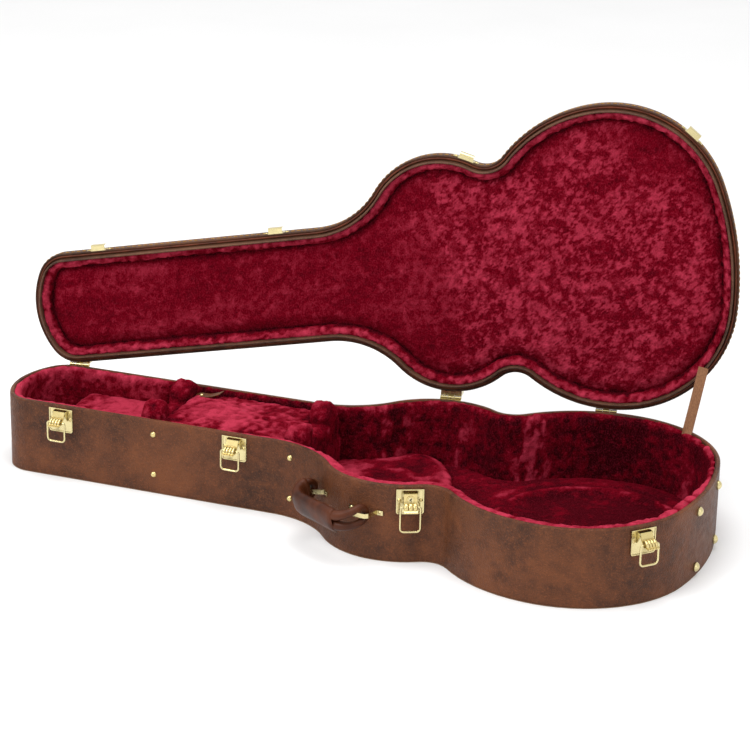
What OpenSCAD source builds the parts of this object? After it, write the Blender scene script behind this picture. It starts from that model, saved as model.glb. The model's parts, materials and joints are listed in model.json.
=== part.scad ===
// Hard-shell guitar case, open on its stay strap.
// X runs along the hinge line towards the butt end, Y runs to the hinge side, Z is up from the floor.

/* [Case outline] */
// Overall length along the guitar's centreline
case_len = 1154; // [1145:1:1165]
// Half width of the neck bay
neck_hw = 92; // [88:1:96]
// Radius of the head end
head_r = 135; // [125:1:150]
// Radius of the two corners at the head end
head_corner_r = 50; // [40:1:55]
// Radius of the shoulder between neck and upper bout
shoulder_r = 135; // [120:1:150]
// Distance of the upper bout's centre from mid length
upper_u = 117; // [110:1:124]
// Radius of the upper bout
upper_r = 124; // [118:1:128]
// Half width of the upper bout
upper_hw = 193; // [186:1:196]
// Radius of the waist
waist_r = 38; // [20:1:50]
// Distance of the lower bout's widest line from mid length
lower_u = 387; // [380:1:392]
// Half width of the lower bout
lower_hw = 245.5; // [240:0.5:250]
// Radius of the lower bout on its waist side
lower_r = 220; // [205:1:230]
// Radius of the lower bout on its butt side
butt_r = 183; // [170:1:187]
// Angle between the guitar's centreline and the hinge line
slant = 9.8; // [9:0.1:10.5]

/* [Shell] */
// Height of the base
base_h = 122; // [116:1:128]
// Height of the lid
lid_h = 31; // [30:1:34]
// Thickness of the board
board_t = 5; // [4:0.5:5.5]
// Thickness of the vinyl covering
skin_t = 1; // [0.8:0.1:1.2]
// Thickness of the plush on the walls
plush_t = 4; // [3:0.5:4.5]
// Height that the lid's tongue stands into the base
tongue_h = 8; // [6:0.5:9]
// Gap between base and lid when closed
closed_gap = 0.6; // [0.5:0.1:1]
// Angle that the lid stands open
lid_open = 92.5; // [85:0.5:95]

/* [Interior] */
// Thickness of the body bay's floor pad
floor_pad_t = 14; // [10:1:18]
// Thickness of the raised pad under the upper bout
bout_pad_t = 14; // [8:1:18]
// Thickness of the pad under the headstock
head_pad_t = 76; // [60:1:80]
// Centre of the cradle next to the head bay, from mid length
cradle_head_u = -307; // [-315:1:-300]
// Centre of the cradle next to the body bay, from mid length
cradle_body_u = -62; // [-66:1:-58]
// Thickness of a cradle
cradle_t = 28; // [22:1:30]
// Radius of a cradle's ears
ear_r = 20; // [16:1:22]
// Distance of a cradle's ears from the centreline
ear_y = 50; // [46:1:52]

/* [Latches] */
// Width of a latch plate
plate_w = 41; // [38:1:44]
// Height of a latch plate
plate_h = 39; // [37:1:41]
// Drop of a latch plate's top edge below the rim
plate_drop = 5; // [4:0.5:6]
// Width of a latch lever
lever_w = 20; // [18:1:20]
// Angle that the three plain levers stand off the case
lever_rest = 25; // [20:1:27]
// Length of a plain latch's bail from its pivot
bail_len = 31.8; // [31.6:0.1:32.4]
// Length of the lock latch's bail from its pivot
lock_bail_len = 39.3; // [38:0.1:39.6]
// Half the distance between a bail's legs
bail_hw = 14.9; // [14.7:0.1:15.2]
// Radius of a bail's wire
wire_r = 1.6; // [1.4:0.1:1.6]

/* [Handle] */
// Height of the handle's swing line
handle_z = 77; // [70:1:80]
// Distance of the swing line from the wall
handle_off = 22; // [22:0.5:25]
// Reach of the grip from the swing line
grip_out = 30; // [29:1:32]
// Radius of the leather tube in the grip
grip_r = 8; // [7:0.5:8]
// Droop of the handle below level
handle_droop = 15; // [10:1:25]

/* [Hidden] */
$fn = 48;
e = 0.3;
run = 0.05;
rim = base_h;
lid_z = rim + closed_gap;
lid_top = lid_z + lid_h;
inner = skin_t + board_t + 0.3;
lined = inner + plush_t;
pad_in = lined + 0.3;
floor_z = skin_t + board_t + 0.3;

// centres of the outline's arcs, in the guitar's own frame: u along the centreline, t across it
head_c = [-case_len/2 + head_r, 0];
corner_c = [head_c.x - sqrt(pow(head_r - head_corner_r, 2) - pow(neck_hw - head_corner_r, 2)),
            neck_hw - head_corner_r];
upper_c = [upper_u, upper_hw - upper_r];
shoulder_c = [upper_u - sqrt(pow(upper_r + shoulder_r, 2) - pow(neck_hw + shoulder_r - upper_c.y, 2)),
              neck_hw + shoulder_r];
lower_c = [lower_u, lower_hw - lower_r];
butt_c = [lower_u, lower_hw - butt_r];
waist_c = meet(upper_c, upper_r + waist_r, lower_c, lower_r + waist_r);
end_k = butt_c.x - case_len/2;
end_r = (butt_r*butt_r - end_k*end_k - butt_c.y*butt_c.y) / (2*(end_k + butt_r));
end_c = [case_len/2 - end_r, 0];

function angle(a, b) = atan2(b.y - a.y, b.x - a.x);
function arc(c, r, a0, a1, n) = [for (i = [0:n - 1]) let (a = a0 + (a1 - a0)*i/n) c + r*[cos(a), sin(a)]];
// upper meeting point of two circles
function meet(c1, r1, c2, r2) = let (d = norm(c2 - c1), a = (r1*r1 - r2*r2 + d*d)/(2*d),
    h = sqrt(r1*r1 - a*a), u = (c2 - c1)/d) c1 + a*u + h*[-u.y, u.x];
// one side of the outline from head to butt, moved in by d
function side(d) = concat(
    arc(head_c, head_r - d, 180, angle(head_c, corner_c), 6),
    arc(corner_c, head_corner_r - d, angle(head_c, corner_c), 90, 7),
    arc(shoulder_c, shoulder_r + d, -90, angle(shoulder_c, upper_c), 8),
    arc(upper_c, upper_r - d, angle(upper_c, shoulder_c), angle(upper_c, waist_c), 14),
    arc(waist_c, waist_r + d, angle(waist_c, upper_c), angle(waist_c, lower_c), 6),
    arc(lower_c, lower_r - d, angle(lower_c, waist_c), 90, 9),
    arc(butt_c, butt_r - d, 90, angle(end_c, butt_c), 14),
    arc(end_c, end_r - d, angle(end_c, butt_c), 0, 4),
    [end_c + [end_r - d, 0]]);
function outline(d) = let (s = side(d), n = len(s)) concat(s, [for (i = [n - 2:-1:1]) [s[i].x, -s[i].y]]);
function turned(p, a) = [p.x*cos(a) - p.y*sin(a), p.x*sin(a) + p.y*cos(a)];
back_y = max([for (p = outline(0)) turned(p, -slant).y]);
hinge_y = back_y + 2.8;

vinyl = [0.45, 0.29, 0.20];
plush = [0.51, 0.02, 0.12];
brass = [0.83, 0.76, 0.52];
leather = [0.35, 0.20, 0.15];
ply = [0.62, 0.48, 0.33];

// ---------- shared shapes ----------
module guitar() { rotate([0, 0, -slant]) children(); }
module slab(d, z0, z1) { guitar() translate([0, 0, z0]) linear_extrude(z1 - z0) polygon(outline(d)); }
module ring(d0, d1, z0, z1) {
    guitar() translate([0, 0, z0]) linear_extrude(z1 - z0)
        difference() { polygon(outline(d0)); polygon(outline(d1)); }
}
// a span of the inside between two distances along the centreline
module bay(u0, u1, d, z0, z1) {
    guitar() translate([0, 0, z0]) linear_extrude(z1 - z0)
        intersection() { polygon(outline(d)); translate([u0, -300]) square([u1 - u0, 600]); }
}
// stands children on the outside wall: local -Y points out, local z = 0 is the rim
module on_wall(w) {
    guitar() translate([w[0].x, w[0].y, rim]) rotate([0, 0, w[1] + 90]) children();
}
module opened() {
    translate([0, hinge_y, rim]) rotate([-lid_open, 0, 0]) translate([0, -hinge_y, -rim]) children();
}
// turns an outline drawn in (y, z) into a bar along x
module bar_x(w) { translate([-w/2, 0, 0]) rotate([90, 0, 90]) linear_extrude(w) children(); }
// turns an outline drawn in (x, y) into a bar up z, centred
module bar_z(h) { translate([0, 0, -h/2]) linear_extrude(h) children(); }
module rod_x(r, w) { rotate([0, 90, 0]) cylinder(r = r, h = w, center = true); }
// a domed head standing out along -Y
module dome(r, h) {
    rotate([90, 0, 0]) intersection() {
        translate([0, 0, h - (r*r + h*h)/(2*h)]) sphere(r = (r*r + h*h)/(2*h));
        cylinder(r = r + 1, h = h + 1);
    }
}

// ---------- places on the wall: [point, direction that the wall faces] ----------
function near_side(c, r, a) = [[c.x + r*cos(a), -c.y + r*sin(a)], a];
function hollow_side(c, r, a) = [[c.x + r*cos(a), -c.y + r*sin(a)], a - 180];
wall_head = [[-453.5, -neck_hw], -90];
wall_neck = [[-152.2, -neck_hw], -90];
wall_lock = near_side(upper_c, upper_r, -64.2);
wall_butt = near_side(butt_c, butt_r, -41.1);
LATCHES = [wall_head, wall_neck, wall_lock, wall_butt];
wall_grip_l = hollow_side(shoulder_c, shoulder_r, 41.5);
wall_grip_r = near_side(upper_c, upper_r, -95);

// ---------- base shell ----------
module base_wall() { color(ply) ring(skin_t, skin_t + board_t, skin_t, rim - 2); }
module base_panel() { color(ply) slab(skin_t + board_t, skin_t, skin_t + board_t); }
module base_wall_cover() { color(vinyl) ring(0, skin_t, skin_t, rim - 2); }
module base_bottom_cover() { color(vinyl) slab(0, 0, skin_t); }
module base_rim_trim() { color(vinyl*0.8) ring(0, skin_t + board_t + 1, rim - 2, rim); }
module base_wall_lining() { color(plush) ring(inner, lined, floor_z, rim - tongue_h - 2); }

// ---------- padding ----------
module body_floor_pad() {
    color(plush) bay(cradle_body_u + cradle_t/2 + e, 600, pad_in, floor_z, floor_z + floor_pad_t);
}
module upper_bout_pad() {
    z0 = floor_z + floor_pad_t + e;
    color(plush) intersection() {
        bay(cradle_body_u + cradle_t/2 + e, upper_u + 45, pad_in, z0, z0 + bout_pad_t);
        guitar() translate([upper_u - 160, 0, z0]) cylinder(r = 205, h = bout_pad_t, $fn = 96);
    }
}
// rises from the head end towards the cradle
module head_floor_pad() {
    u1 = cradle_head_u - cradle_t/2 - e;
    color(plush) intersection() {
        bay(-600, u1, pad_in, floor_z, rim);
        guitar() rotate([90, 0, 0]) linear_extrude(400, center = true)
            polygon([[-600, floor_z], [u1, floor_z], [u1, floor_z + head_pad_t], [-486, floor_z + head_pad_t],
                [-520, floor_z + head_pad_t - 30], [-600, floor_z + head_pad_t - 30]]);
    }
}
// a block across the neck bay with two round ears for the neck to lie between
module cradle(u) {
    valley = rim - 16;
    guitar() intersection() {
        translate([u - cradle_t/2, 0, 0]) rotate([90, 0, 90]) linear_extrude(cradle_t) {
            translate([-100, floor_z]) square([200, valley - floor_z]);
            for (s = [-1, 1]) translate([s*ear_y, 0]) {
                translate([0, rim - 6]) circle(r = ear_r);
                translate([-ear_r, valley - 5]) square([2*ear_r, rim - 1 - valley]);
            }
        }
        translate([0, 0, -1]) linear_extrude(rim + 40) polygon(outline(pad_in));
    }
}
module cradle_head() { color(plush) cradle(cradle_head_u); }
module cradle_body() { color(plush) cradle(cradle_body_u); }

// ---------- accessory box between the cradles ----------
tray_u0 = cradle_head_u + cradle_t/2 + e;
tray_u1 = cradle_body_u - cradle_t/2 - e;
tray_hw = neck_hw - lined - 3.5;
flap_top = rim - 8;
module accessory_tray() {
    color(plush*0.8) guitar() difference() {
        translate([tray_u0, -tray_hw, floor_z]) cube([tray_u1 - tray_u0, 2*tray_hw, flap_top - 13.5 - floor_z]);
        translate([tray_u0 + 3, 3 - tray_hw, floor_z + 3]) cube([tray_u1 - tray_u0 - 6, 2*tray_hw - 6, 200]);
    }
}
module flap(z0, z1, edge) {
    guitar() translate([tray_u0 + edge, edge - tray_hw, z0])
        cube([tray_u1 - tray_u0 - 2*edge, 2*(tray_hw - edge), z1 - z0]);
}
module accessory_board() { color(plush*0.7) flap(flap_top - 13, flap_top - 10, 1); }
module accessory_plush() { color(plush) flap(flap_top - 10 + 0.02, flap_top, 1); }
tab_at = [tray_u0 + 12, tray_hw - 16, flap_top + 0.02];
module pull_tab() {
    color([0.5, 0.31, 0.18]) guitar() translate(tab_at) linear_extrude(1.6) difference() {
        union() { circle(r = 9); translate([0, -9]) square([36, 18]); }
        circle(r = 2 + run);
    }
}
module tab_rivet() {
    color(brass) guitar() translate(tab_at) {
        translate([0, 0, 0.02]) cylinder(r = 2, h = 1.6);
        translate([0, 0, 1.62]) rotate([-90, 0, 0]) dome(4, 2);
    }
}

// ---------- small brass on the outside ----------
module partition_rivets() {
    rivet_u = [-292, shoulder_c.x + shoulder_r*cos(77)];
    rivet_t = [-neck_hw, -shoulder_c.y + shoulder_r*sin(77)];
    color(brass) for (i = [0, 1], z = [-24, -91])
        on_wall([[rivet_u[i], rivet_t[i]], i == 0 ? -90 : -103])
            translate([0, i == 0 ? -0.02 : -0.3, z]) dome(5, 3.4);
}
module butt_feet() {
    color(brass) for (a = [-6.9, 6.9], z = [-19, -107])
        on_wall([end_c + end_r*[cos(a), sin(a)], a]) translate([0, -0.02, z]) {
            rotate([90, 0, 0]) cylinder(r = 7.2, h = 2);
            translate([0, -2, 0]) dome(7.2, 4.8);
        }
}

// ---------- handle ----------
grip_l = wall_grip_l[0] + handle_off*[cos(wall_grip_l[1]), sin(wall_grip_l[1])];
grip_r_end = wall_grip_r[0] + handle_off*[cos(wall_grip_r[1]), sin(wall_grip_r[1])];
grip_mid = (grip_l + grip_r_end)/2;
grip_half = norm(grip_r_end - grip_l)/2;
grip_turn = angle(grip_l, grip_r_end);
// height of the wall behind each foot of a bracket: left foot, right foot
feet_l = [-2.95, -0.7];
feet_r = [1.3, 1.3];
foot_t = 1.6;
// a bridge of brass strip; the leather loop passes behind it
module bracket(w, feet) {
    h = handle_off + 0.9;
    l = feet[0];
    r = feet[1];
    on_wall(w) translate([0, 0, handle_z - rim]) difference() {
        bar_z(7) polygon([[-28, l], [-28, l - foot_t], [-18.5, l - foot_t], [-13.5, 4 - h], [-9, -h], [9, -h],
            [13.5, 4 - h], [18.5, r - foot_t], [28, r - foot_t], [28, r], [17.5, r], [11.9, 5 - h], [8.2, 1.8 - h],
            [-8.2, 1.8 - h], [-11.9, 5 - h], [-17.5, l]]);
        for (s = [-1, 1]) translate([s*23.5, 0, 0])
            rotate([90, 0, 0]) cylinder(r = 1.6 + run, h = 20, center = true);
    }
}
module handle_bracket_left() { color(brass) bracket(wall_grip_l, feet_l); }
module handle_bracket_right() { color(brass) bracket(wall_grip_r, feet_r); }
module handle_screws() {
    color(brass) for (w = [[wall_grip_l, feet_l], [wall_grip_r, feet_r]], s = [0, 1])
        on_wall(w[0]) translate([s == 0 ? -23.5 : 23.5, w[1][s] - foot_t, handle_z - rim]) difference() {
            union() {
                translate([0, -0.03, 0]) dome(2.9, 1.3);
                translate([0, 1.5, 0]) rotate([90, 0, 0]) cylinder(r = 1.6, h = 1.6);
            }
            translate([0, -1.2, 0]) cube([6, 1, 0.8], center = true);
        }
}
// quarter of the leather loop's middle line, from the middle of the grip round to behind the bracket:
// [along the swing line, outwards, up, tube radius, 1 in the eye and 0 in the strands]
eye_r = 12;
tube_r = 5.8;
bend_r = 26;
grip_v = grip_r + 0.6;
quarter = concat(
    [for (x = [0, 12, 24, 32]) [x, grip_out, grip_v, grip_r, 0]],
    [for (a = [90:-15:0]) [grip_half - bend_r + bend_r*cos(a), grip_out - bend_r + bend_r*sin(a),
        eye_r - (eye_r - grip_v)*a/90, tube_r + (grip_r - tube_r)*a/90, 0]],
    [for (a = [75:-15:0]) [grip_half, -eye_r*cos(a), eye_r*sin(a), tube_r, 1]]);
function placed(q, k, m) = [k*q[0], -q[1], m*q[2], q[3], q[4]];
function backwards(l) = [for (i = [len(l) - 2:-1:1]) l[i]];
loop_path = concat([for (q = quarter) placed(q, 1, 1)], [for (q = backwards(quarter)) placed(q, 1, -1)],
    [for (q = quarter) placed(q, -1, -1)], [for (q = backwards(quarter)) placed(q, -1, 1)]);
function at(p) = [p[0], p[1], p[2]];
function unit(v) = v/norm(v);
module handle_tube() {
    n = len(loop_path);
    m = 20;
    points = [for (i = [0:n - 1]) let (p = loop_path[i],
        t = unit(at(loop_path[(i + 1) % n]) - at(loop_path[(i + n - 1) % n])),
        w = [0, p[4]*p[1], p[2]], u = unit(w - (w*t)*t), v = cross(t, u))
        for (j = [0:m - 1]) at(p) + p[3]*(cos(360*j/m)*u + sin(360*j/m)*v)];
    polyhedron(points, [for (i = [0:n - 1], j = [0:m - 1])
        let (i1 = (i + 1) % n, j1 = (j + 1) % m, f = [i*m + j, i*m + j1, i1*m + j1, i1*m + j]) each
            [[f[0], f[2], f[1]], [f[0], f[3], f[2]]]]);
}
module at_handle() {
    guitar() translate([grip_mid.x, grip_mid.y, handle_z]) rotate([0, 0, grip_turn]) rotate([handle_droop, 0, 0])
        children();
}
module handle_loop() { color(leather) at_handle() handle_tube(); }
// smooth leather wrapped round both strands
module wrap(r) {
    square([2*grip_v, 2*r], center = true);
    for (s = [-1, 1]) translate([s*grip_v, 0]) circle(r = r);
}
module handle_sleeve() {
    color(leather*0.9) at_handle() translate([0, -grip_out, 0]) rotate([0, 90, 0])
        linear_extrude(2*(grip_half - bend_r), center = true) difference() {
            wrap(grip_r + 2);
            wrap(grip_r + 0.2);
        }
}

// ---------- latches ----------
pin_at = [-5, -12];      // lever pivot: out from the wall, down from the rim
// bail pivot in a lever that lies down
function barrel(lock) = [-12, lock ? -29 : -27];
// bail pivot where the lever stands
function bail_at(lock) = lock ? barrel(lock) : pin_at + turned(barrel(lock) - pin_at, -lever_rest);
module plate_shape(w, h, r) {
    translate([-w/2, -h/2 + r]) square([w, h - r]);
    translate([-w/2 + r, -h/2]) square([w - 2*r, h]);
    for (s = [-1, 1]) translate([s*(w/2 - r), -h/2 + r]) circle(r = r);
}
module latch_plate(w, lock) {
    color(brass) on_wall(w) difference() {
        union() {
            translate([0, -0.02, -plate_drop - plate_h/2]) rotate([90, 0, 0]) {
                linear_extrude(1) plate_shape(plate_w, plate_h, 4);
                linear_extrude(1.8) difference() {
                    plate_shape(plate_w, plate_h, 4);
                    plate_shape(plate_w - 3, plate_h - 3, 3);
                }
            }
            for (s = [-1, 1]) translate([s*(lever_w/2 + 1), 0, 0]) bar_x(1.2)
                polygon([[-0.5, -8], [-7.6, -8.6], [-8.4, -11], [-8, -14], [-3, -24], [-0.5, -25]]);
        }
        translate([0, pin_at.x, pin_at.y]) rod_x(1.2 + run, 40);
        translate([-lever_w/2, -3, -plate_drop - 4.2]) cube([lever_w, 6, 2.2]);
        for (s = [-1, 1]) translate([s*16, 0, -22]) rotate([90, 0, 0]) cylinder(r = 1.5 + run, h = 9, center = true);
    }
}
module latch_plate_head() { latch_plate(wall_head); }
module latch_plate_neck() { latch_plate(wall_neck); }
module latch_plate_lock() { latch_plate(wall_lock); }
module latch_plate_butt() { latch_plate(wall_butt); }
module latch_rivets() {
    color(brass) for (w = LATCHES, s = [-1, 1]) on_wall(w) translate([s*16, -0.05, -22]) {
        rotate([90, 0, 0]) cylinder(r = 1.5, h = 1.2);
        translate([0, -1.02, 0]) dome(2.8, 1.4);
    }
}
module latch_pins() {
    color(brass*0.9) for (w = LATCHES) on_wall(w) translate([0, pin_at.x, pin_at.y]) rod_x(1.2, lever_w + 3.6);
}
// a flap from the pivot down to a fluted barrel with a finger lip
module lever(w, lock = false) {
    b = barrel(lock);
    color(brass) on_wall(w) translate([0, pin_at.x, pin_at.y]) rotate([lock ? 0 : -lever_rest, 0, 0])
        translate([0, -pin_at.x, -pin_at.y]) difference() {
            union() {
                bar_x(lever_w) {
                    translate(pin_at) circle(r = 2.6);
                    polygon([[-5, -9.4], [-8.4, -9.4], [-8.9, -10.4], [-8.9, b.y + 7.5], [b.x, b.y + 3.4], b,
                        [b.x + 1.5, b.y], [-7.4, b.y + 6.5], [-7.4, -12], [-5, -14.6]]);
                    polygon([[b.x, b.y - 3], [b.x - 7.5, b.y - 6.6], [b.x - 7.9, b.y - 5.6], [b.x - 3, b.y - 1.4]]);
                    translate(b) circle(r = 3.3);
                }
                for (x = [-1.5:1.5]) translate([x*5, b.x, b.y]) rod_x(3.9, 4);
                if (lock) translate([0, -8.8, -18]) rotate([90, 0, 0]) cylinder(r = 5.6, h = 0.9);
            }
            translate([0, pin_at.x, pin_at.y]) rod_x(1.2 + run, 40);
            translate([0, b.x, b.y]) rod_x(wire_r + run, 40);
            if (lock) {
                translate([0, -6, -18]) rotate([90, 0, 0]) cylinder(r = 4 + run, h = 6);
            }
        }
}
module lever_head() { lever(wall_head); }
module lever_neck() { lever(wall_neck); }
module lever_lock() { lever(wall_lock, true); }
module lever_butt() { lever(wall_butt); }
module lock_plug() {
    color(brass*0.95) on_wall(wall_lock) translate([0, 0, -18]) difference() {
        translate([0, -8.2, 0]) rotate([90, 0, 0]) cylinder(r = 4, h = 1.9);
        rotate([0, 35, 0]) translate([0, -10, 0]) cube([1.3, 4, 5], center = true);
        translate([0, -9, 0]) rotate([90, 0, 0]) cylinder(r = 1.2, h = 4);
    }
}
// a wire loop hanging from the barrel
module bail(w, lock = false) {
    r = 6;
    k = 3;
    l = lock ? lock_bail_len : bail_len;
    at = bail_at(lock);
    color(brass) on_wall(w) translate([0, at.x, at.y]) {
        for (s = [-1, 1]) {
            translate([s*(bail_hw - k), 0, 0]) rotate([0, -s*90, 0]) cylinder(r = wire_r, h = bail_hw - k - 6);
            translate([s*bail_hw, 0, r - l]) cylinder(r = wire_r, h = l - r - k);
            translate([s*(bail_hw - k), 0, -k]) rotate([90, 0, 0]) rotate([0, 0, s > 0 ? 0 : 90])
                rotate_extrude(angle = 90) translate([k, 0]) circle(r = wire_r);
            translate([s*(bail_hw - r), 0, r - l]) rotate([90, 0, 0]) rotate([0, 0, s > 0 ? -90 : 180])
                rotate_extrude(angle = 90) translate([r, 0]) circle(r = wire_r);
        }
        translate([0, 0, -l]) rod_x(wire_r, 2*(bail_hw - r));
    }
}
module bail_head() { bail(wall_head); }
module bail_neck() { bail(wall_neck); }
module bail_lock() { bail(wall_lock, true); }
module bail_butt() { bail(wall_butt); }

// ---------- hinges ----------
HINGE_X = [-495, 130, 381];
leaf_w = 34;
leaf_h = 22;
knuckle_r = 2.2;
// a leaf between the wall and the hinge line; up = 1 for the lid's, -1 for the base's
module leaf(x, up) {
    z0 = up > 0 ? closed_gap + 1.2 : -1.6 - leaf_h;
    difference() {
        union() {
            translate([x - leaf_w/2, back_y - 14, rim + z0]) cube([leaf_w, 14.8, leaf_h]);
            for (s = up > 0 ? [0] : [-1, 1]) translate([x + s*11.5, hinge_y, rim]) {
                rod_x(knuckle_r, 11);
                translate([-5.5, -2.8, up > 0 ? 1.1 : -2.15]) cube([11, 2.8, 1.05]);
            }
        }
        translate([x, hinge_y, rim]) rod_x(1 + run, 60);
        slab(-0.05, -1, rim + 80);
    }
}
module hinge_base_leaves() { color(brass) for (x = HINGE_X) leaf(x, -1); }
module hinge_lid_leaves() { color(brass) opened() for (x = HINGE_X) leaf(x, 1); }
module hinge_pins() { color(brass*0.9) for (x = HINGE_X) translate([x, hinge_y, rim]) rod_x(1, 34.4); }

// ---------- lid ----------
module lid_wall() { color(ply) opened() ring(skin_t, skin_t + board_t, lid_z + 2, lid_top - skin_t); }
module lid_panel() {
    color(ply) opened() slab(skin_t + board_t, lid_top - skin_t - board_t, lid_top - skin_t);
}
module lid_wall_cover() { color(vinyl) opened() ring(0, skin_t, lid_z + 2, lid_top - skin_t); }
module lid_top_cover() { color(vinyl) opened() slab(0, lid_top - skin_t, lid_top); }
module lid_binding() { color([0.28, 0.18, 0.13]) opened() ring(0, skin_t + 1.5, lid_z, lid_z + 2); }
module lid_bead() { color([0.42, 0.23, 0.15]) opened() ring(skin_t + 1.5, skin_t + board_t, lid_z, lid_z + 2); }
tongue_in = skin_t + board_t + 1.8;
module lid_tongue() {
    color([0.45, 0.33, 0.25]) opened() ring(tongue_in, tongue_in + 3.5, rim - tongue_h, lid_z + 8);
}
module lid_wall_lining() {
    color(plush) opened() ring(tongue_in, tongue_in + 3.5, lid_z + 8.2, lid_top - 1.5 - skin_t - board_t);
}
module lid_panel_lining() {
    color(plush) opened() slab(tongue_in + 3.8, lid_top - skin_t - board_t - 8.3, lid_top - skin_t - board_t - 0.3);
}
// J-shaped hook on a plate with two ears
module lid_catches() {
    color(brass) opened() for (w = LATCHES) on_wall(w) difference() {
        union() {
            translate([0, -0.02, closed_gap + 8]) rotate([90, 0, 0]) linear_extrude(1.2) {
                square([26, 14], center = true);
                square([42, 8], center = true);
            }
            bar_x(23) polygon([[-0.5, 1.2], [-8.5, 1.2], [-10, 2.6], [-10, 10], [-8.8, 10.6],
                [-8.8, 3.2], [-8.2, 2.4], [-0.5, 2.4]]);
        }
        for (s = [-1, 1]) translate([s*17, 0, closed_gap + 8]) rotate([90, 0, 0])
            cylinder(r = 1.5 + run, h = 9, center = true);
    }
}
module catch_rivets() {
    color(brass) opened() for (w = LATCHES, s = [-1, 1]) on_wall(w) translate([s*17, -0.05, closed_gap + 8]) {
        rotate([90, 0, 0]) cylinder(r = 1.5, h = 1.3);
        translate([0, -1.2, 0]) dome(2.6, 1.2);
    }
}

// ---------- stay strap ----------
strap_foot = [508.5, 110.7, rim - 6];
strap_head = [531, 166, rim + 92];
strap_run = strap_head - strap_foot;
module stay_strap() {
    L = norm(strap_run);
    color([0.59, 0.43, 0.29]) translate(strap_foot)
        rotate([0, acos(strap_run.z/L), atan2(strap_run.y, strap_run.x)]) rotate([0, 0, -60])
            translate([-9, -0.8, 4]) cube([18, 1.6, L - 4]);
}
module strap_lid_rivet() {
    color(brass) opened() guitar() translate(near_side(butt_c, butt_r - tongue_in - 3.8, 45)[0] + 2*[0, butt_c.y])
        translate([0, 0, lid_z + 12]) rotate([0, 0, 45 - 90]) dome(4, 2);
}

base_wall();
base_panel();
base_wall_cover();
base_bottom_cover();
base_rim_trim();
base_wall_lining();
body_floor_pad();
upper_bout_pad();
head_floor_pad();
cradle_head();
cradle_body();
accessory_tray();
partition_rivets();
butt_feet();
handle_bracket_left();
handle_bracket_right();
handle_screws();
latch_plate_head();
latch_plate_neck();
latch_plate_lock();
latch_plate_butt();
latch_rivets();
latch_pins();
hinge_base_leaves();
hinge_pins();
stay_strap();
lid_wall();
lid_panel();
lid_wall_cover();
lid_top_cover();
lid_binding();
lid_bead();
lid_tongue();
lid_wall_lining();
lid_panel_lining();
lid_catches();
catch_rivets();
hinge_lid_leaves();
strap_lid_rivet();
handle_loop();
handle_sleeve();
lever_head();
lever_neck();
lever_lock();
lever_butt();
bail_head();
bail_neck();
bail_lock();
bail_butt();
lock_plug();
accessory_board();
accessory_plush();
pull_tab();
tab_rivet();
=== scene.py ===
import json
import math

import bpy
import numpy as np
from mathutils import Matrix, Vector


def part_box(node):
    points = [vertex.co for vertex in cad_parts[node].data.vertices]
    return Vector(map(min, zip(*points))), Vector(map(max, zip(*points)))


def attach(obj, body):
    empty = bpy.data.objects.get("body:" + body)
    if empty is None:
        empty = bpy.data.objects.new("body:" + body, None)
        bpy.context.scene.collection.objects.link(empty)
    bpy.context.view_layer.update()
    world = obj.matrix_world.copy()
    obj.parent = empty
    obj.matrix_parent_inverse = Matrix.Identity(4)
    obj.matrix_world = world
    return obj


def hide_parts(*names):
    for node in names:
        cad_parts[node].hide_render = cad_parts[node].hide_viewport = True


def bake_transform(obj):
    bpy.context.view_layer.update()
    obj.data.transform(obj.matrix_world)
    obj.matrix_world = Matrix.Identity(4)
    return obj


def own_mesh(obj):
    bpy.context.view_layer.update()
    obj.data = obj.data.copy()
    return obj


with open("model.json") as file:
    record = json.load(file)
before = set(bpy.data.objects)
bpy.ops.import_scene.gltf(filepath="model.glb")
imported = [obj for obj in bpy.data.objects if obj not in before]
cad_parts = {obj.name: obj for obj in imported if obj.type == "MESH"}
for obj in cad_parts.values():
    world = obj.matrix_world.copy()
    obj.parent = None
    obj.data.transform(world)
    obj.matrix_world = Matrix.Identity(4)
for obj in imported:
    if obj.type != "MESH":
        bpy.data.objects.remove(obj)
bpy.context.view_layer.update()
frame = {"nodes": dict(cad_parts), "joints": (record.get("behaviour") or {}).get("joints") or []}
MM = 0.001

# -------------------------------- places taken from the frame
JOINTS = {j["name"]: j for j in frame["joints"]}
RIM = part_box("base_rim_trim")[1][2]
HINGE = np.array(JOINTS["lid_hinge"]["pos_m"])
OPEN = math.radians(JOINTS["lid_hinge"]["range_deg"][1])
GAP = 0.6 * MM                   # between base and lid when closed
LID_H = 31 * MM
SLANT = math.radians(9.8)        # guitar's centreline against the hinge line

# -------------------------------- outline of the case
LENGTH, NECK_HW = 1154 * MM, 92 * MM
HEAD_R, CORNER_R, SHOULDER_R = 135 * MM, 50 * MM, 135 * MM
UPPER_U, UPPER_HW, UPPER_R, WAIST_R = 117 * MM, 193 * MM, 124 * MM, 38 * MM
LOWER_U, LOWER_HW, LOWER_R, BUTT_R = 387 * MM, 245.5 * MM, 220 * MM, 183 * MM


def meet(c1, r1, c2, r2):
    """Upper meeting point of two circles."""
    gap = c2 - c1
    d = np.linalg.norm(gap)
    a = (r1 * r1 - r2 * r2 + d * d) / (2 * d)
    u = gap / d
    return c1 + a * u + math.sqrt(r1 * r1 - a * a) * np.array([-u[1], u[0]])


def angle(a, b):
    return math.atan2(b[1] - a[1], b[0] - a[0])


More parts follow.
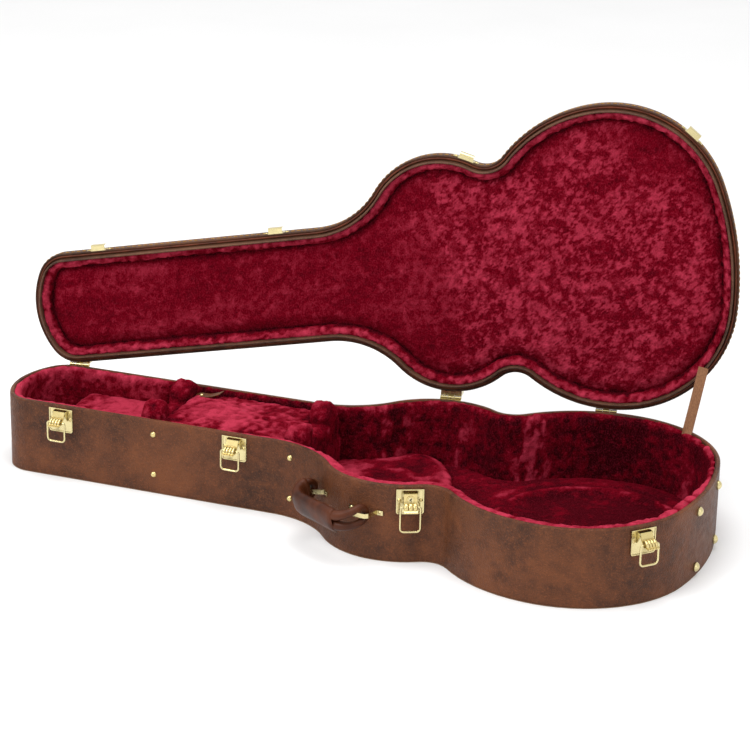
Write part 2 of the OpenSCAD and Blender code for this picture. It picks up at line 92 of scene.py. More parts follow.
HEAD_C = np.array([-LENGTH / 2 + HEAD_R, 0])
_y = NECK_HW - CORNER_R
CORNER_C = np.array([HEAD_C[0] - math.sqrt((HEAD_R - CORNER_R) ** 2 - _y ** 2), _y])
UPPER_C = np.array([UPPER_U, UPPER_HW - UPPER_R])
_y = NECK_HW + SHOULDER_R - UPPER_C[1]
SHOULDER_C = np.array([UPPER_U - math.sqrt((UPPER_R + SHOULDER_R) ** 2 - _y ** 2), NECK_HW + SHOULDER_R])
LOWER_C = np.array([LOWER_U, LOWER_HW - LOWER_R])
BUTT_C = np.array([LOWER_U, LOWER_HW - BUTT_R])
WAIST_C = meet(UPPER_C, UPPER_R + WAIST_R, LOWER_C, LOWER_R + WAIST_R)
_k = BUTT_C[0] - LENGTH / 2
END_R = (BUTT_R ** 2 - _k ** 2 - BUTT_C[1] ** 2) / (2 * (_k + BUTT_R))
END_C = np.array([LENGTH / 2 - END_R, 0])
# each arc: centre, radius, sign that the inset has on the radius, first and last angle
ARCS = [
    (HEAD_C, HEAD_R, -1, math.pi, angle(HEAD_C, CORNER_C)),
    (CORNER_C, CORNER_R, -1, angle(HEAD_C, CORNER_C), math.pi / 2),
    (SHOULDER_C, SHOULDER_R, 1, -math.pi / 2, angle(SHOULDER_C, UPPER_C)),
    (UPPER_C, UPPER_R, -1, angle(UPPER_C, SHOULDER_C), angle(UPPER_C, WAIST_C)),
    (WAIST_C, WAIST_R, 1, angle(WAIST_C, UPPER_C), angle(WAIST_C, LOWER_C)),
    (LOWER_C, LOWER_R, -1, angle(LOWER_C, WAIST_C), math.pi / 2),
    (BUTT_C, BUTT_R, -1, math.pi / 2, angle(END_C, BUTT_C)),
    (END_C, END_R, -1, angle(END_C, BUTT_C), 0.0),
]


def side(step, d=0.0):
    """One side of the outline from head to butt in the guitar's frame (u, t), moved in by d."""
    parts = []
    for i, (c, r, sign, a0, a1) in enumerate(ARCS):
        n = max(3, int(abs(a1 - a0) * r / step))
        a = a0 + (a1 - a0) * np.arange(n) / n
        parts.append(c + (r + sign * d) * np.c_[np.cos(a), np.sin(a)])
        if i == 1:          # the straight side of the neck bay
            start, stop = CORNER_C[0], SHOULDER_C[0]
            n = int((stop - start) / step)
            u = start + (stop - start) * np.arange(n) / n
            parts.append(np.c_[u, np.full(n, NECK_HW - d)])
    parts.append(END_C + np.array([[END_R - d, 0.0]]))
    return np.vstack(parts)


def outline(step, d=0.0):
    """The whole outline, head to butt along +t and back along -t."""
    s = side(step, d)
    back = s[-2:0:-1] * [1, -1]
    return np.vstack([s, back])


def to_row(p):
    """Guitar frame (u, t) to row frame (x, y)."""
    c, s = math.cos(SLANT), math.sin(SLANT)
    return np.c_[p[:, 0] * c + p[:, 1] * s, -p[:, 0] * s + p[:, 1] * c]


def to_guitar(p):
    """Row frame (x, y) to guitar frame (u, t)."""
    c, s = math.cos(SLANT), math.sin(SLANT)
    return np.c_[p[:, 0] * c - p[:, 1] * s, p[:, 0] * s + p[:, 1] * c]


def turned(p, by):
    """Points turned about the lid's hinge."""
    q = np.array(p, float) - HINGE
    c, s = math.cos(by), math.sin(by)
    return np.c_[q[:, 0], q[:, 1] * c - q[:, 2] * s, q[:, 1] * s + q[:, 2] * c] + HINGE


def opened(p):
    """Points of the closed lid to where it stands open."""
    return turned(p, -OPEN)


def closed(p):
    """Points of the open lid to where it lies closed."""
    return turned(p, OPEN)


def flat(g):
    """Points (u, t) with a zero height, for the noise."""
    return np.c_[g, np.zeros(len(g))]


EDGE = outline(4 * MM)
EDGE_ROW = to_row(EDGE)


def edge_distance(p):
    """Distance from the case's outline of points in the guitar frame."""
    out = np.empty(len(p))
    for i in range(0, len(p), 4000):
        d = p[i:i + 4000, None] - EDGE[None]
        out[i:i + 4000] = np.sqrt((d ** 2).sum(2).min(1))
    return out


# -------------------------------- smooth noise on points
def lattice(i, j, k, seed):
    h = (i * 374761393 + j * 668265263 + k * 2147483647 + seed * 974711) & 0xFFFFFFFF
    h = ((h ^ (h >> 13)) * 1274126177) & 0xFFFFFFFF
    return ((h ^ (h >> 16)) & 0xFFFF) / 32767.5 - 1.0


def noise(p, size, seed=0):
    """Value noise from -1 to 1 whose blobs are about `size` across."""
    q = np.asarray(p, float) / size + 1000.0
    i = np.floor(q).astype(np.int64)
    f = q - i
    f = f * f * (3 - 2 * f)
    total = np.zeros(len(q))
    for a in (0, 1):
        for b in (0, 1):
            for c in (0, 1):
                w = (f[:, 0] if a else 1 - f[:, 0]) * (f[:, 1] if b else 1 - f[:, 1])
                w = w * (f[:, 2] if c else 1 - f[:, 2])
                total += w * lattice(i[:, 0] + a, i[:, 1] + b, i[:, 2] + c, seed)
    return total


def fractal(p, size, octaves, seed=0, gain=0.55):
    total, amount = np.zeros(len(p)), 1.0
    for k in range(octaves):
        total += amount * noise(p, size / 2 ** k, seed + k)
        amount *= gain
    return total


def smoothstep(x, a, b):
    t = np.clip((x - a) / (b - a), 0, 1)
    return t * t * (3 - 2 * t)


# -------------------------------- mesh helpers
def new_object(name, verts, faces, material, smooth=True):
    mesh = bpy.data.meshes.new(name)
    mesh.from_pydata([tuple(v) for v in verts], [], faces)
    mesh.materials.append(material)
    mesh.polygons.foreach_set("use_smooth", [smooth] * len(mesh.polygons))
    mesh.update()
    o = bpy.data.objects.new(name, mesh)
    bpy.context.scene.collection.objects.link(o)
    return o


def coordinates(o):
    v = np.empty(len(o.data.vertices) * 3)
    o.data.vertices.foreach_get("co", v)
    return v.reshape(-1, 3)


def normals(o):
    v = np.empty(len(o.data.vertices) * 3)
    o.data.vertices.foreach_get("normal", v)
    return v.reshape(-1, 3)


def set_coordinates(o, v):
    o.data.vertices.foreach_set("co", np.ascontiguousarray(v, float).ravel())
    o.data.update()


def loft(name, rings, material, around=True, flip=False):
    """A skin through rings of equal length: rings[i][j] is a point; around joins each ring's ends."""
    rings = np.asarray(rings, float)
    m, n = rings.shape[:2]
    last = n if around else n - 1
    faces = []
    for i in range(m - 1):
        for j in range(last):
            k = (j + 1) % n
            f = (i * n + j, i * n + k, (i + 1) * n + k, (i + 1) * n + j)
            faces.append(f[::-1] if flip else f)
    return new_object(name, rings.reshape(-1, 3), faces, material)


def wall_rings(profile, step):
    """Rings of the case's outline for a profile of (inset, height)."""
    rings = []
    for d, z in profile:
        p = to_row(outline(step, d))
        rings.append(np.c_[p, np.full(len(p), z)])
    return np.array(rings)


def corner(cx, cz, r, a0, a1, n):
    """Points of a rounded corner in a profile of (inset, height)."""
    return [(cx + r * math.cos(math.radians(a0 + (a1 - a0) * i / n)),
             cz + r * math.sin(math.radians(a0 + (a1 - a0) * i / n))) for i in range(n + 1)]


def spread(a, b, n):
    """Points evenly between two profile points, ends included."""
    return [(a[0] + (b[0] - a[0]) * i / n, a[1] + (b[1] - a[1]) * i / n) for i in range(n + 1)]


def paint(o, values):
    """Stores how bright the plush is at each vertex, painted light and shade included, for its material."""
    layer = o.data.attributes.new("crush_and_light", "FLOAT", "POINT")
    layer.data.foreach_set("value", np.ascontiguousarray(values, float))


def apply_modifiers(o):
    graph = bpy.context.evaluated_depsgraph_get()
    mesh = bpy.data.meshes.new_from_object(o.evaluated_get(graph))
    o.modifiers.clear()
    o.data = mesh


def even_skin(o, material, voxel, factor, rounds):
    """Turns a solid into one even skin with its edges rounded off."""
    o.data.materials.clear()
    o.data.materials.append(material)
    m = o.modifiers.new("even", "REMESH")
    m.mode, m.voxel_size = "VOXEL", voxel
    m = o.modifiers.new("round", "SMOOTH")
    m.factor, m.iterations = factor, rounds
    apply_modifiers(o)
    o.data.polygons.foreach_set("use_smooth", [True] * len(o.data.polygons))


def soft_copy(name, node, material, voxel, rounds):
    """A rounded copy of a CAD pad, which it replaces."""
    o = bpy.data.objects.new(name, frame["nodes"][node].data.copy())
    bpy.context.scene.collection.objects.link(o)
    even_skin(o, material, voxel, 0.6, rounds)
    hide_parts(node)
    return o


def pile(o, clump, size, wave, wave_size, seed):
    """Pushes a plush skin in and out as its pile clumps. Returns patches where the pile lies another way, to
    be painted lighter and darker as sheen, and its tufts.
    """
    v, n = coordinates(o), normals(o)
    tufts = fractal(v, size, 3, seed)
    big = fractal(v, wave_size, 2, seed + 20)
    set_coordinates(o, v + n * (clump * tufts + wave * big)[:, None])
    patches = fractal(v, 95 * MM, 4, seed + 40, 0.6)
    streaks = fractal(v * [1.0, 0.45, 0.8], 34 * MM, 3, seed + 60)
    return patches * 0.65 + streaks * 0.35, tufts


# -------------------------------- materials
class Nodes:
    """A short hand for building a material's nodes."""

    def __init__(self, name):
        self.material = bpy.data.materials.new(name)
        self.material.use_nodes = True
        self.tree = self.material.node_tree
        self.shader = self.tree.nodes["Principled BSDF"]
        self.coords = self.add("ShaderNodeTexCoord").outputs["Object"]

    def feed(self, socket, value):
        """Links another node's output to a socket, or gives the socket a fixed value."""
        if hasattr(value, "is_output"):
            self.tree.links.new(value, socket)
        else:
            socket.default_value = (*value, 1.0) if isinstance(value, tuple) else value

    def add(self, kind, **inputs):
        node = self.tree.nodes.new(kind)
        for key, value in inputs.items():
            self.feed(node.inputs[key.replace("_", " ")], value)
        return node

    def noise(self, scale, detail=3.0, rough=0.55, stretch=None, distort=0.0):
        co = self.coords
        if stretch:
            m = self.add("ShaderNodeMapping", Vector=co)
            m.inputs["Scale"].default_value = stretch
            co = m.outputs["Vector"]
        return self.add("ShaderNodeTexNoise", Vector=co, Scale=scale, Detail=detail, Roughness=rough,
                        Distortion=distort).outputs["Fac"]

    def cells(self, scale, feature="F1"):
        n = self.add("ShaderNodeTexVoronoi", Vector=self.coords, Scale=scale)
        n.feature = feature
        return n.outputs["Distance"]

    def ramp(self, value, stops):
        n = self.add("ShaderNodeValToRGB", Fac=value)
        while len(n.color_ramp.elements) < len(stops):
            n.color_ramp.elements.new(0.5)
        for e, (at, colour) in zip(n.color_ramp.elements, stops):
            e.position = at
            c = (colour,) * 3 if isinstance(colour, float) else colour
            e.color = (*c, 1.0)
        return n.outputs["Color"]

    def mix(self, fac, a, b, mode="MIX"):
        n = self.tree.nodes.new("ShaderNodeMix")
        n.data_type, n.blend_type = "RGBA", mode
        # the colour sockets of a mix node have no names of their own
        for socket, value in ((n.inputs["Factor"], fac), (n.inputs[6], a), (n.inputs[7], b)):
            self.feed(socket, value)
        return n.outputs[2]

    def maths(self, kind, a, b=0.0):
        n = self.tree.nodes.new("ShaderNodeMath")
        n.operation = kind
        for socket, value in zip(n.inputs, (a, b)):
            self.feed(socket, value)
        return n.outputs[0]

    def bump(self, height, strength, distance, under=None):
        n = self.add("ShaderNodeBump", Height=height, Strength=strength, Distance=distance)
        if under is not None:
            self.feed(n.inputs["Normal"], under)
        return n.outputs["Normal"]

    def attribute(self, name):
        n = self.tree.nodes.new("ShaderNodeAttribute")
        n.attribute_name = name
        return n.outputs["Fac"]

    def finish(self, colour=None, roughness=None, normal=None, **fixed):
        for key, value in fixed.items():
            self.shader.inputs[key.replace("_", " ")].default_value = value
        for key, value in (("Base Color", colour), ("Roughness", roughness), ("Normal", normal)):
            if value is not None:
                self.feed(self.shader.inputs[key], value)
        return self.material


def srgb(r, g, b):
    return tuple(((c / 255) / 12.92) if c < 10 else (((c / 255) + 0.055) / 1.055) ** 2.4 for c in (r, g, b))


def vinyl_material(name, dark, mid, light, grain=1.0):
    """Pebble-grained vinyl with cloudy tone and a soft shine."""
    n = Nodes(name)
    clouds = n.noise(9.0, 5.0, 0.62, distort=0.5)
    spots = n.noise(60.0, 5.0, 0.7)
    tone = n.ramp(clouds, [(0.32, dark), (0.50, mid), (0.68, light)])
    tone = n.mix(n.ramp(spots, [(0.40, 0.0), (0.68, 0.55)]), tone, light)
    cell = n.cells(430.0)
    pores = n.ramp(cell, [(0.0, 0.35), (0.45, 1.0)])
    colour = n.mix(0.55, tone, n.mix(1.0, tone, pores, "MULTIPLY"))
    flecks = n.noise(380.0, 3.0, 0.7)
    pale = tuple(min(1.0, 1.7 * c) for c in light)
    colour = n.mix(n.ramp(flecks, [(0.52, 0.0), (0.70, 0.45)]), colour, pale)
    wrinkles = n.noise(300.0, 4.0, 0.7, distort=0.6)
    normal = n.bump(cell, 0.75 * grain, 0.0012)
    normal = n.bump(wrinkles, 0.45 * grain, 0.0006, normal)
    normal = n.bump(clouds, 0.12, 0.004, normal)
    rough = n.ramp(n.noise(90.0, 3.0), [(0.3, 0.40), (0.7, 0.56)])
    return n.finish(colour, rough, normal, Specular_IOR_Level=0.20)


def plush_material(name, deep, base, bright):
    """Long-pile plush: painted sheen in soft patches where the pile lies another way, painted highlights on
    fibre ends.
    """
    n = Nodes(name)
    crush_and_light = n.attribute("crush_and_light")
    fibre = n.noise(520.0, 3.0, 0.7, stretch=(1.0, 1.0, 0.7))
    tuft = n.noise(120.0, 4.0, 0.65, distort=0.8)
    mixed = n.maths("ADD", crush_and_light, n.maths("MULTIPLY", n.maths("SUBTRACT", tuft, 0.5), 0.55))
    mixed = n.maths("ADD", mixed, n.maths("MULTIPLY", n.maths("SUBTRACT", fibre, 0.5), 0.30))
    # the ramp runs from deep, a painted shade, through the plush's own base colour to bright, a painted
    # highlight
    colour = n.ramp(mixed, [(0.02, deep), (0.42, base), (0.98, bright)])
    # fibre ends painted in the highlight colour
    colour = n.mix(n.ramp(fibre, [(0.46, 0.0), (0.72, 0.22)]), colour, bright)
    normal = n.bump(tuft, 0.75, 0.005)
    normal = n.bump(fibre, 0.70, 0.002, normal)
    return n.finish(colour, 0.95, normal, Specular_IOR_Level=0.02, Sheen_Weight=0.14, Sheen_Roughness=0.5,
                    Sheen_Tint=(*srgb(255, 30, 70), 1.0))


def brass_material(name, colour, rough):
    """Plated brass, smeared by hands, with painted shade darkening its corners."""
    n = Nodes(name)
    smear = n.noise(60.0, 3.0, 0.6)
    fine = n.noise(900.0, 2.0, 0.5, stretch=(1.0, 1.0, 0.25))
    tint = n.mix(n.ramp(smear, [(0.35, 0.0), (0.75, 0.35)]), colour, tuple(c * 0.72 for c in colour))
    # painted shade: darker brass where ambient occlusion finds corners and gaps
    shut = n.add("ShaderNodeAmbientOcclusion", Distance=0.004).outputs["AO"]
    crevice_shade = tuple(c * k for c, k in zip(colour, (0.28, 0.21, 0.10)))
    tint = n.mix(n.ramp(shut, [(0.25, 1.0), (0.90, 0.0)]), tint, crevice_shade)
    roughness = n.ramp(smear, [(0.3, rough), (0.75, rough + 0.14)])
    return n.finish(tint, roughness, n.bump(fine, 0.06, 0.0003), Metallic=1.0)


def leather_material(name, dark, mid, light):
    """Smooth dressed leather with fine creases."""
    n = Nodes(name)
    clouds = n.noise(28.0, 4.0, 0.6, distort=0.5)
    creases = n.cells(420.0, "DISTANCE_TO_EDGE")
    colour = n.ramp(clouds, [(0.30, dark), (0.55, mid), (0.80, light)])
    colour = n.mix(n.ramp(creases, [(0.0, 0.35), (0.06, 0.0)]), colour, dark)
    normal = n.bump(n.ramp(creases, [(0.0, 0.0), (0.08, 1.0)]), 0.10, 0.0005)
    normal = n.bump(n.noise(160.0, 4.0, 0.65), 0.12, 0.0012, normal)
    rough = n.ramp(clouds, [(0.3, 0.36), (0.7, 0.50)])
    return n.finish(colour, rough, normal, Specular_IOR_Level=0.20)


def web_material(name, dark, light):
    """A strap with a fine woven rib along it."""
    n = Nodes(name)
    rib = n.noise(700.0, 2.0, 0.5, stretch=(1.0, 1.0, 0.12))
    cross = n.noise(900.0, 2.0, 0.5)
    colour = n.mix(n.ramp(rib, [(0.35, 0.0), (0.65, 1.0)]), dark, light)
    colour = n.mix(n.ramp(n.noise(30.0, 3.0), [(0.4, 0.0), (0.8, 0.35)]), colour, dark)
    normal = n.bump(rib, 0.4, 0.0006)
    normal = n.bump(cross, 0.25, 0.0004, normal)
    return n.finish(colour, 0.62, normal, Specular_IOR_Level=0.35, Sheen_Weight=0.1)


VINYL = vinyl_material("vinyl", srgb(50, 28, 17), srgb(76, 42, 24), srgb(106, 60, 33))
# dark vinyl: the lid's binding in its own dark colour, and on the base's inner rim a painted shade
BINDING_AND_RIM_SHADE_VINYL = vinyl_material("binding_and_rim_shade_vinyl", srgb(36, 20, 12), srgb(56, 32, 19), srgb(82, 48, 29), 0.5)
BEAD = leather_material("bead_vinyl", srgb(62, 28, 16), srgb(92, 44, 25), srgb(122, 64, 38))
TONGUE = vinyl_material("tongue_vinyl", srgb(54, 34, 25), srgb(76, 50, 36), srgb(100, 68, 50), 0.6)
PLUSH = plush_material("plush", srgb(34, 0, 3), srgb(96, 0, 15), srgb(176, 52, 74))
BRASS = brass_material("brass", srgb(214, 200, 150), 0.20)
BRASS_WARM = brass_material("brass_warm", srgb(214, 194, 134), 0.20)
LEATHER = leather_material("handle_leather", srgb(46, 19, 7), srgb(74, 34, 14), srgb(96, 48, 23))
LEATHER_EDGE = leather_material("leather_edge", srgb(66, 42, 30), srgb(88, 60, 44), srgb(112, 82, 64))
TAB = leather_material("tab_leather", srgb(72, 38, 16), srgb(98, 56, 26), srgb(120, 74, 38))
STRAP = web_material("strap_web", srgb(108, 68, 40), srgb(134, 90, 56))
SHADOW = leather_material("keyway_dark", srgb(14, 10, 6), srgb(22, 16, 10), srgb(34, 26, 16))
THREAD = web_material("thread", srgb(150, 104, 34), srgb(196, 148, 62))


# -------------------------------- base shell
def base_shell():
    """Vinyl from under the bottom edge, up the wall and over the rim."""
    foot, lip = 3.2 * MM, 2.6 * MM
    profile = spread((14 * MM, 0.02 * MM), (foot, 0.02 * MM), 2)[:-1]
    profile += corner(foot, foot, foot, -90, -180, 6)
    profile += spread((0, foot), (0, RIM - lip), 26)[1:-1]
    profile += corner(lip, RIM - lip, lip, 180, 90, 6)
    profile += corner(6.4 * MM - 1.4 * MM, RIM - 1.4 * MM, 1.4 * MM, 90, 0, 4)
    profile += [(6.5 * MM, RIM - 4 * MM)]
    o = loft("base_shell", wall_rings(profile, 3 * MM), VINYL, flip=True)
    v, n = coordinates(o), normals(o)
    wall = smoothstep(v[:, 2], 0.004, 0.02) * (1 - smoothstep(v[:, 2], RIM - 0.02, RIM - 0.004))
    set_coordinates(o, v + n * (wall * 0.35 * MM * fractal(v, 45 * MM, 2, 3))[:, None])
    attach(o, "base")
    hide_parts("base_wall_cover")
    # the inside of the rim in the dark vinyl: painted shade along the rim's inner edge
    inner = [(6.3 * MM, RIM - 1.2 * MM), (6.8 * MM, RIM - 0.9 * MM), (7.4 * MM, RIM - 1.4 * MM),
             (7.6 * MM, RIM - 4 * MM), (7.6 * MM, RIM - 14 * MM)]
    e = loft("base_rim_edge", wall_rings(inner, 4 * MM), BINDING_AND_RIM_SHADE_VINYL, flip=True)
    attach(e, "base")
    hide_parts("base_rim_trim")


# -------------------------------- plush in the base
def in_head_bay(u):
    """1 in the head bay, fading to 0 where the cradles start."""
    return 1 - smoothstep(u, -0.37, -0.33)


def base_wall_plush():
    """Plush over the inside of the wall, rolled over at its top edge and gathered round the butt end."""
    top, foot = RIM - 0.9 * MM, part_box("base_wall_lining")[0][2]
    # (share of the thickness, height below the top)
    profile = [(0.0, 5.0), (0.03, 2.0), (0.12, 0.5), (0.28, 0.0), (0.46, 0.3), (0.64, 1.4), (0.80, 3.4),
               (0.92, 6.4), (0.98, 10.0), (1.0, 14.0)]
    drop = (top - foot) / MM
    profile += [(1.0 - 0.12 * math.sin(math.pi * i / 30), 14.0 + (drop - 14.0) * i / 30)
                for i in range(1, 31)]
    cell, cover = 2.8 * MM, 6.6 * MM
    inset = side(cell, cover)
    inward = side(cell, cover + 1.0 * MM) - inset
    inward /= np.maximum(1e-9, np.linalg.norm(inward, axis=1))[:, None]
    # thin beside the cradles and the accessory box, thick round the body and the head
    u = inset[:, 0]
    body, head = smoothstep(u, -0.045, 0.02), in_head_bay(u)
    front = smoothstep(inset[:, 1], 0.0, 0.07)
    # on the far side and on the near side
    thick = [5.2 * MM + 6.5 * MM * body + 4.0 * MM * head,
             6.0 * MM + (6.0 + 9.0 * front) * MM * body + 6.0 * MM * head]
    rings = []
    for share, fall in profile:
        far, near = (inset + inward * (k * share)[:, None] for k in thick)
        p = to_row(np.vstack([far, near[-2:0:-1] * [1, -1]]))
        rings.append(np.c_[p, np.full(len(p), top - fall * MM)])
    o = loft("base_wall_plush", rings, PLUSH, flip=True)
    v = coordinates(o)
    g = to_guitar(v[:, :2])
    height = (v[:, 2] - foot) / (top - foot)
    at = np.arctan2(g[:, 1], g[:, 0] - LOWER_U)
    round_butt = smoothstep(g[:, 0], LOWER_U + 0.06, LOWER_U + 0.14)
    lie = np.c_[at * 0.16, height * 0.03, np.zeros(len(v))]
    fold = fractal(lie, 11 * MM, 2, 9)
    upper = smoothstep(height, 0.25, 0.85)
    set_coordinates(o, v + normals(o) * (2.6 * MM * fold * round_butt * upper)[:, None])
    v = coordinates(o)
    # broad soft swells down the wall
    swell = noise(np.c_[g, v[:, 2] * 0.25], 75 * MM, 14)
    set_coordinates(o, v + normals(o) * (1.2 * MM * swell * (1 - round_butt))[:, None])
    crush_and_light, tufts = pile(o, 1.0 * MM, 7 * MM, 0.6 * MM, 40 * MM, 5)
    streaks = noise(np.c_[g, v[:, 2] * 0.25], 62 * MM, 15)
    ragged = smoothstep(fractal(v * [1.0, 1.0, 0.5], 18 * MM, 3, 16), -0.45, 0.35)
    near = smoothstep(-g[:, 1], 0.0, 0.06)
    lit = np.maximum(near, round_butt)
    head_bay = in_head_bay(g[:, 0])
    lip = smoothstep(height, 0.93, 0.985)
    # painted light: lighter streaks as painted sheen, and a painted highlight on the roll at the top edge,
    # brighter on the near side and round the butt end
    glow = 0.10 + 0.30 * crush_and_light + 1.10 * np.clip(streaks - 0.15, 0, 0.5) * ragged + (0.22 + 0.40 * lit) * lip
    # the head bay painted lighter as lit, more so higher up
    glow += 0.42 * head_bay * (0.4 + height)
    # painted highlights on the crests of the pleats round the butt end and on the upper near wall
    paint(o, glow + 0.30 * fold * round_butt * upper + 0.24 * tufts + 0.10 * near * height)
    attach(o, "base")
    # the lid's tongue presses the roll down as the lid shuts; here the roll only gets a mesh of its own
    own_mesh(o)
    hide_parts("base_wall_lining")


def floor_piece(name, node, seed, crown, shape=None, voxel=3.5 * MM):
    """A floor pad: rounded at its edges, raised by `shape` over its top. `crown` is how much it swells."""
    o = soft_copy(name, node, PLUSH, voxel, 14)
    v = coordinates(o)
    low, high = v[:, 2].min(), v[:, 2].max()
    top = smoothstep(v[:, 2], low + 0.35 * (high - low), high - 0.001)
    g = to_guitar(v[:, :2])
    if shape is not None:
        v[:, 2] += top * shape(g)
    set_coordinates(o, v)
    crush_and_light, tufts = pile(o, 0.8 * MM, 8 * MM, crown, 80 * MM, seed)
    return o, g, crush_and_light, tufts


def body_floor():
    """The floor of the body bay: a crowned border round a large shallow hollow under the lower bout."""
    centre, radius = np.array([LOWER_U + 2 * MM, -4 * MM]), 138 * MM

    def reach(g):
        wobble = 5 * MM * noise(flat(g), 120 * MM, 33)
        return np.linalg.norm((g - centre) * [1.0, 0.90], axis=1) + wobble

    def shape(g):
        r = reach(g)
        ridge = np.exp(-((r - radius - 9 * MM) / (9 * MM)) ** 2)
        second = np.exp(-((r - radius - 34 * MM) / (10 * MM)) ** 2)
        edge = smoothstep(edge_distance(g), 0.014, 0.040)
        hollow = 1 - smoothstep(r, radius - 16 * MM, radius + 2 * MM)
        return (5 * MM * ridge + 2.5 * MM * second - 4 * MM * hollow) * edge - 7 * MM * (1 - edge)

    o, g, crush_and_light, tufts = floor_piece("body_floor_plush", "body_floor_pad", 11, 1.0 * MM, shape)
    r = reach(g)
    line = np.exp(-((r - radius - 8 * MM) / (5 * MM)) ** 2)
    line = line + 0.5 * np.exp(-((r - radius - 33 * MM) / (6 * MM)) ** 2)
    broken = smoothstep(noise(flat(g), 34 * MM, 35), -0.35, 0.5)
    # painted light: a broken painted highlight along the crowns of both ridges, and painted shade in the
    # hollow
    paint(o, 0.17 + 0.36 * crush_and_light + 0.52 * line * broken - 0.10 * (r < radius - 6 * MM) + 0.20 * tufts)
    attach(o, "base")


def bout_pad():
    """Raised pad under the upper bout with a rolled round end."""
    def reach(g):
        return np.linalg.norm(g - [UPPER_U - 0.160, 0.0], axis=1)

    def shape(g):
        end = smoothstep(reach(g), 0.165, 0.198)
        roll = 3 * MM * np.sin(math.pi * end)
        return 4 * MM * smoothstep(edge_distance(g), 0.01, 0.05) + roll - 3 * MM * end

    o, g, crush_and_light, tufts = floor_piece("upper_bout_plush", "upper_bout_pad", 17, 1.2 * MM, shape)
    line = np.exp(-((reach(g) - 0.196) / 0.007) ** 2)
    wrinkle_highlight = fractal(np.c_[g[:, 0] * 0.6, g[:, 1], np.zeros(len(g))], 22 * MM, 2, 19)
    # painted highlights: along the rolled round end, and in patches standing for lit wrinkles
    paint(o, 0.28 + 0.46 * crush_and_light + 0.50 * line + 0.40 * np.clip(wrinkle_highlight, 0, 1) + 0.22 * tufts)
    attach(o, "base")


def head_floor():
    """The pad under the headstock."""
    o, g, crush_and_light, tufts = floor_piece("head_floor_plush", "head_floor_pad", 23, 2.4 * MM)
    # painted light: the pad painted lighter all over as lit, and more so towards the cradle
    lit = smoothstep(g[:, 0], -0.50, -0.45)
    paint(o, 0.56 + 0.28 * lit + 0.42 * crush_and_light + 0.30 * tufts)
    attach(o, "base")


def cradle(name, node, seed):
    """Padded block that carries the neck between two round ears."""
    o = soft_copy(name, node, PLUSH, 2.6 * MM, 22)
    v, n = coordinates(o), normals(o)
    ears = smoothstep(v[:, 2], RIM - 0.03, RIM)
    set_coordinates(o, v + n * (3.0 * MM * ears + 1.2 * MM)[:, None])
    crush_and_light, tufts = pile(o, 1.7 * MM, 10 * MM, 2.2 * MM, 30 * MM, seed)
    # painted light: the ears painted lighter where they face up, as lit
    side_on = np.abs(n[:, 2])
    paint(o, 0.24 + 0.36 * crush_and_light + 0.24 * side_on * ears + 0.28 * tufts)
    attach(o, "base")
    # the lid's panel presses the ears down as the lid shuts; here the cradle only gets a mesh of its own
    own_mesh(o)


def accessory_lid():
    """Plush over the accessory compartment's lid, puffed in the middle and dented by hand."""
    o = soft_copy("accessory_lid_plush", "accessory_plush", PLUSH, 2.4 * MM, 10)
    v = coordinates(o)
    g = to_guitar(v[:, :2])
    low, high = v[:, 2].min(), v[:, 2].max()
    middle = (g.min(0) + g.max(0)) / 2
    k = (1 - np.abs((g[:, 0] - middle[0]) / 0.112) ** 4).clip(0) * (1 - np.abs(g[:, 1] / 0.082) ** 4).clip(0)
    dents = fractal(flat(g), 60 * MM, 3, 37)
    v[:, 2] += smoothstep(v[:, 2], low + 0.003, high) * (6 * MM * k - 2 * MM + 2.6 * MM * dents * k)
    set_coordinates(o, v)
    crush_and_light, tufts = pile(o, 1.5 * MM, 9 * MM, 0.8 * MM, 30 * MM, 31)
    patches = smoothstep(fractal(flat(g), 70 * MM, 4, 39, 0.6), -0.35, 0.15)
    paint(o, 0.28 + 0.40 * patches + 0.30 * crush_and_light + 0.28 * tufts)
    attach(o, "accessory_lid")


def plush_coat(node):
    """Gives a CAD board inside the compartment the plush material."""
    o = frame["nodes"][node]
    for s in o.material_slots:
        s.material = PLUSH
    if not o.material_slots:
        o.data.materials.append(PLUSH)


# -------------------------------- lid
LID_Z = RIM + GAP


def lid_rings(profile, step):
    """As wall_rings, with the lid standing open."""
    rings = wall_rings(profile, step)
    return np.array([opened(r) for r in rings])


def lid_shell():
    """Vinyl over the lid: wall, rounded shoulder and the slightly arched top."""
    bend, top = 8 * MM, LID_Z + LID_H
    profile = spread((0, LID_Z + 1.5 * MM), (0, top - bend), 6)
    profile += corner(bend, top - bend, bend, 180, 90, 8)[1:]
    o = loft("lid_shell", lid_rings(profile, 3 * MM), VINYL, flip=True)
    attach(o, "lid")
    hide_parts("lid_wall_cover", "lid_wall", "lid_panel")
    lid_top(bend, top)


def lid_top(inset, top):
    """The lid's outer face inside the shoulder, as rows across the outline."""
    s = side(4 * MM, inset)
    across = np.linspace(-1, 1, 61)
    rows = []
    for u, t in s:
        p = to_row(np.c_[np.full(len(across), u), t * across])
        rise = 2.5 * MM * (1 - across ** 4) * min(1.0, t / (60 * MM))
        rows.append(np.c_[p, top + rise])
    o = loft("lid_top", opened(np.array(rows).reshape(-1, 3)).reshape(len(rows), -1, 3), VINYL, around=False,
             flip=True)
    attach(o, "lid")
    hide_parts("lid_top_cover")


